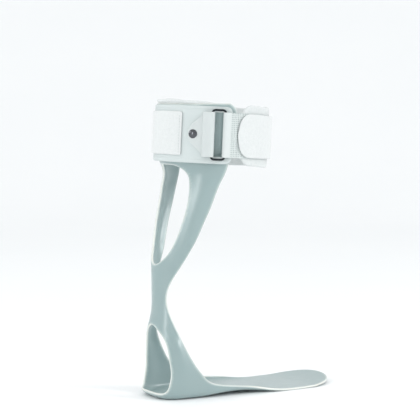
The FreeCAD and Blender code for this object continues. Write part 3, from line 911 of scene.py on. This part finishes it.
def band_cover():
    """Coated cover outside the band, padded towards its lower edge, with a window behind the ring."""
    first, last = WINDOW
    half = WINDOW_HALF_HEIGHT
    angles = np.unique(np.concatenate([np.linspace(-COVER_LIMIT, first, 70), np.linspace(first, last, 7),
                                       np.linspace(last, COVER_LIMIT, 6)]))
    heights = np.unique(np.concatenate([np.linspace(-COVER_HALF_HEIGHT, -half, 5),
                                        np.linspace(-half, half, 22),
                                        np.linspace(half, COVER_HALF_HEIGHT, 5)]))
    rows, flats = [], []
    for angle in angles:
        edge = math.radians(COVER_LIMIT - abs(angle)) * COVER_OUTER
        shrink = float(round_end(edge, 1.0, 9.0, 2.6))
        scale = 1 - (1 - shrink) * 0.24
        row = []
        for height in heights:
            lower = max(0, -height - 14) / 16
            row.append(polar(COVER_OUTER - 0.65 - 1.2 * lower ** 2, angle, height * scale))
        rows.append(row)
        flats.append([(math.radians(angle) * COVER_OUTER * MM, height * MM, 0) for height in heights])
    bm = grid_sheet(rows, flats)
    layer = bm.verts.layers.float_vector["flat"]
    gone = []
    for face in bm.faces:
        middle = sum((Vector(vertex[layer]) for vertex in face.verts), Vector()) / 4
        angle = math.degrees(middle.x / MM / COVER_OUTER)
        if first < angle < last and abs(middle.y / MM) < half:
            gone.append(face)
    bmesh.ops.delete(bm, geom=gone, context="FACES")
    thickness = [1.2 + 2.2 * (max(0, -vertex[layer].y / MM - 14) / 16) ** 2 for vertex in bm.verts]
    obj = new_object("band_cover_shell", thick_skin(bm, thickness))
    smooth(obj)
    return obj


def calf_strap():
    """One strap: from its seam on the outer side, round the back and the inner side, over the shin to its
    rounded free end on the mesh strap."""
    turn = math.radians(HINGE_ANGLE)
    shift = CLOSURE_SHIFT * np.array([math.cos(turn), math.sin(turn)])
    radius = STRAP_INNER + 0.5 * STRAP_THICKNESS
    back = arc_path(radius, BACK_STRAP_END, HINGE_ANGLE)
    front = arc_path(radius + CLOSURE_SHIFT, HINGE_ANGLE, CLOSURE_END - 360, centre=shift)
    path = np.vstack([back, front[1:]])
    along = lengths(path)
    from_end = along[-1] - along
    half = round_end(from_end, STRAP_HALF_WIDTH, 15.0, 2.2)
    sag = 0.25 * np.sin(along / 17.0)
    bm = ribbon_sheet(path, -half + sag, half + sag, 22)
    layer = bm.verts.layers.float_vector["flat"]
    ends = [min(vertex[layer].x / MM, along[-1] - vertex[layer].x / MM) for vertex in bm.verts]
    thickness = [STRAP_THICKNESS * (0.75 + 0.25 * min(1, max(0, end / 6))) for end in ends]
    obj = new_object("calf_strap_loop", thick_skin(bm, thickness))
    fuzz(obj, amount=0.00012, scale=450.0, seed=3.0)
    smooth(obj)
    return obj


def folded_path(bar, lower_end, crease, upper_end):
    """Plan path of a strap folded round a ring bar: along the lower layer, round the bar, down to a crease
    and on along the upper layer."""
    lower_radius = STRAP_INNER + 0.5 * TAB_THICKNESS
    upper_radius = lower_radius + TAB_THICKNESS
    toward = 1 if bearing(bar) > lower_end else -1
    lower = arc_path(lower_radius, lower_end, bearing(bar), 1.2)
    base = math.radians(bearing(bar))
    inward, onward = np.array([math.cos(base), math.sin(base)]), np.array([math.sin(base), -math.cos(base)])
    loop = np.array([bar + ROLL_RADIUS * (inward * math.cos(turn) + onward * toward * math.sin(turn))
                     for turn in np.linspace(0, math.pi, 15)])
    crest = float(np.linalg.norm(loop[-1]))
    share = np.linspace(0, 1, 14)[1:]
    turn = np.radians(bearing(bar) + (crease - bearing(bar)) * share)
    height = upper_radius + (crest - upper_radius) * np.cos(0.5 * math.pi * share) ** 0.75
    slope = np.stack([-height * np.cos(turn), -height * np.sin(turn)], 1)
    upper = arc_path(upper_radius, crease, upper_end, 1.2)
    return even(np.vstack([lower[:-1], loop, slope, upper[1:]]), FOLD_POINTS)


def ring_tab():
    """Tab of webbing folded round the ring's rear bar; both layers narrow to the rivet."""
    bar = ring_bar(-1)
    path = folded_path(bar, TAB_TIP, TAB_CREASE, TAB_TIP)
    angles = np.degrees(np.arctan2(-path[:, 1], -path[:, 0]))
    share = np.clip((angles - TAB_TIP) / (TAB_CREASE - TAB_TIP), 0, 1)
    rounding = np.sqrt(np.clip((angles - TAB_TIP + 1.0) / 4.0, 0.1, 1))
    half = np.where(angles > TAB_CREASE, TAB_HALF_WIDTH, (8.0 + 12.5 * share ** 1.15) * rounding)
    obj = new_object("ring_tab_webbing", thick_skin(ribbon_sheet(path, -half, half, 20), WEBBING_WALL))
    smooth(obj)
    return obj


def mesh_strap():
    """Mesh strap rolled round the ring's front bar and running forward over the shin pad."""
    bar = ring_bar(1)
    path = folded_path(bar, MESH_END, MESH_CREASE, MESH_SEWN_END)
    half = np.full(len(path), MESH_HALF_WIDTH)
    obj = new_object("mesh_strap_spacer", thick_skin(ribbon_sheet(path, -half, half, 20), WEBBING_WALL))
    smooth(obj)
    return obj


def seam_spots(angle, radius, low, high, pitch=3.0):
    """Stitch places up a seam that runs parallel to the band's axis."""
    way = BAND_MATRIX.to_3x3() @ Vector((0, 0, 1))
    outward = polar(radius, angle) - polar(0, angle)
    return [(polar(radius, angle, height), way, outward) for height in np.arange(low, high, pitch)]


# ---------------------------------------------------------------- stage, lights and camera

CAMERA_AZIMUTH = math.radians(-30.0)
CAMERA_DISTANCE = 1.75
CAMERA_HEIGHT = 0.33
CAMERA_TARGET = Vector((0.0482, -0.0019, 0.2057))
VIEW_HEIGHT = 0.4715
FLOOR_REACH = 3600.0
FLOOR_FLAT = 2200.0
FLOOR_RISE = 0.00035


def stage():
    """Pale floor that curves up far behind the object."""
    rows = []
    for x in np.linspace(-FLOOR_REACH, FLOOR_REACH, 81):
        rows.append([Vector((x, y, FLOOR_RISE * max(0.0, math.hypot(x, y) - FLOOR_FLAT) ** 2))
                     for y in np.linspace(-FLOOR_REACH, FLOOR_REACH, 81)])
    obj = new_object("floor", grid_sheet(rows))
    material = make_material("floor", (0.93, 0.94, 0.95), 0.6)
    link(material, mix_colour(material, noise_texture(material, 3), (0.92, 0.93, 0.94), (0.95, 0.955, 0.96)),
         shader_of(material).inputs["Base Color"])
    paint(obj, material)


def area_light(name, place, target, size, power):
    """Rectangular soft light, size being its width and height."""
    data = bpy.data.lights.new(name, "AREA")
    data.shape = "RECTANGLE"
    data.energy = power
    data.size, data.size_y = size
    lamp = bpy.data.objects.new(name, data)
    lamp.location = place
    lamp.rotation_euler = (Vector(target) - Vector(place)).to_track_quat("-Z", "Y").to_euler()
    bpy.context.scene.collection.objects.link(lamp)


def lights():
    """Even pale surroundings with three soft lights."""
    world = bpy.data.worlds.new("studio")
    world.use_nodes = True
    background = world.node_tree.nodes["Background"]
    background.inputs["Color"].default_value = (0.965, 0.985, 0.99, 1)
    background.inputs["Strength"].default_value = 0.98
    bpy.context.scene.world = world
    bpy.context.scene.view_settings.view_transform = "Standard"
    area_light("key", (-1.8, -0.9, 0.7), (0, 0, 0.2), (0.28, 1.3), 10)
    area_light("back", (-1.4, 0.9, 1.0), (0, 0, 0.2), (0.6, 0.6), 4)
    area_light("front", (1.3, -1.5, 1.0), (0.05, 0, 0.15), (0.5, 0.8), 14)


def camera():
    """Camera behind the outer side, aimed at the middle of the view, which is VIEW_HEIGHT metres across."""
    data = bpy.data.cameras.new("camera")
    obj = bpy.data.objects.new("camera", data)
    away = Vector((math.sin(CAMERA_AZIMUTH), -math.cos(CAMERA_AZIMUTH), 0)) * CAMERA_DISTANCE
    obj.location = Vector((CAMERA_TARGET.x, CAMERA_TARGET.y, CAMERA_HEIGHT)) + away
    obj.rotation_euler = (CAMERA_TARGET - obj.location).to_track_quat("-Z", "Y").to_euler()
    data.lens = data.sensor_width * (CAMERA_TARGET - obj.location).length / VIEW_HEIGHT
    data.clip_end = 50
    bpy.context.scene.collection.objects.link(obj)
    bpy.context.scene.camera = obj


# ---------------------------------------------------------------- the making

camera()
stage()
lights()

plastic = shell_material()
fleece = fleece_material("white_fleece", (0.648, 0.672, 0.67), (0.583, 0.62, 0.618))
loop_fabric = fleece_material("loop_strap", (0.655, 0.676, 0.674), (0.61, 0.635, 0.633))
thread = thread_material()

shell = new_object("moulded_shell", shell_mesh())
paint(shell, plastic)
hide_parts("shell_foot_section", "shell_strut_flexure", "shell_calf_section")
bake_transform(shell)

# Each fabric piece: the function that builds it, its material, a slot name, the body it hangs from and the CAD
# node that it hides
SOFT = [
    (calf_pad, fleece, "pad", "calf", "calf_pad"),
    (shin_pad, fleece, "pad", "tongue", "shin_pad"),
    (band_cover, coated_material(), "cover", "calf", "band_cover"),
    (ring_tab, webbing_material(), "webbing", "calf", "ring_tab"),
    (mesh_strap, mesh_material(), "mesh", "tongue", "mesh_strap"),
]
for build, material, slot, body, cad_node in SOFT:
    piece = build()
    paint(piece, material)
    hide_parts(cad_node)
    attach(piece, body)

strap = calf_strap()
paint(strap, loop_fabric)
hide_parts("back_strap", "closure_strap")
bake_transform(strap)

# Rows of stitches: name, body and places, at an angle and radius and between two heights of the band's frame
strap_face = STRAP_INNER + STRAP_THICKNESS
webbing_face = STRAP_INNER + 2 * TAB_THICKNESS
SEAMS = [
    ("back_strap_seam", "calf", seam_spots(27.6, strap_face, -20.5, 21)),
    ("tab_seam", "calf", seam_spots(50.6, webbing_face, -19.5, 20)),
    ("mesh_strap_seam", "tongue", seam_spots(82.0, webbing_face, -21, 21.5)),
    ("inner_strap_seam", "calf", seam_spots(-70.0, strap_face, -20.5, 21)),
]
for name, body, spots in SEAMS:
    seam = stitches(name, spots)
    paint(seam, thread)
    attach(seam, body)

chrome = metal_material("dark_chrome", (0.11, 0.115, 0.125), 0.1)
steel = metal_material("ring_wire", (0.035, 0.04, 0.045), 0.25)
tape = hook_material()
for name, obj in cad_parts.items():
    if name.startswith(("outer_rivet", "inner_rivet")):
        paint(obj, chrome)
    elif name == "strap_ring":
        paint(obj, steel)
    elif name == "closure_hook_patch":
        paint(obj, tape)
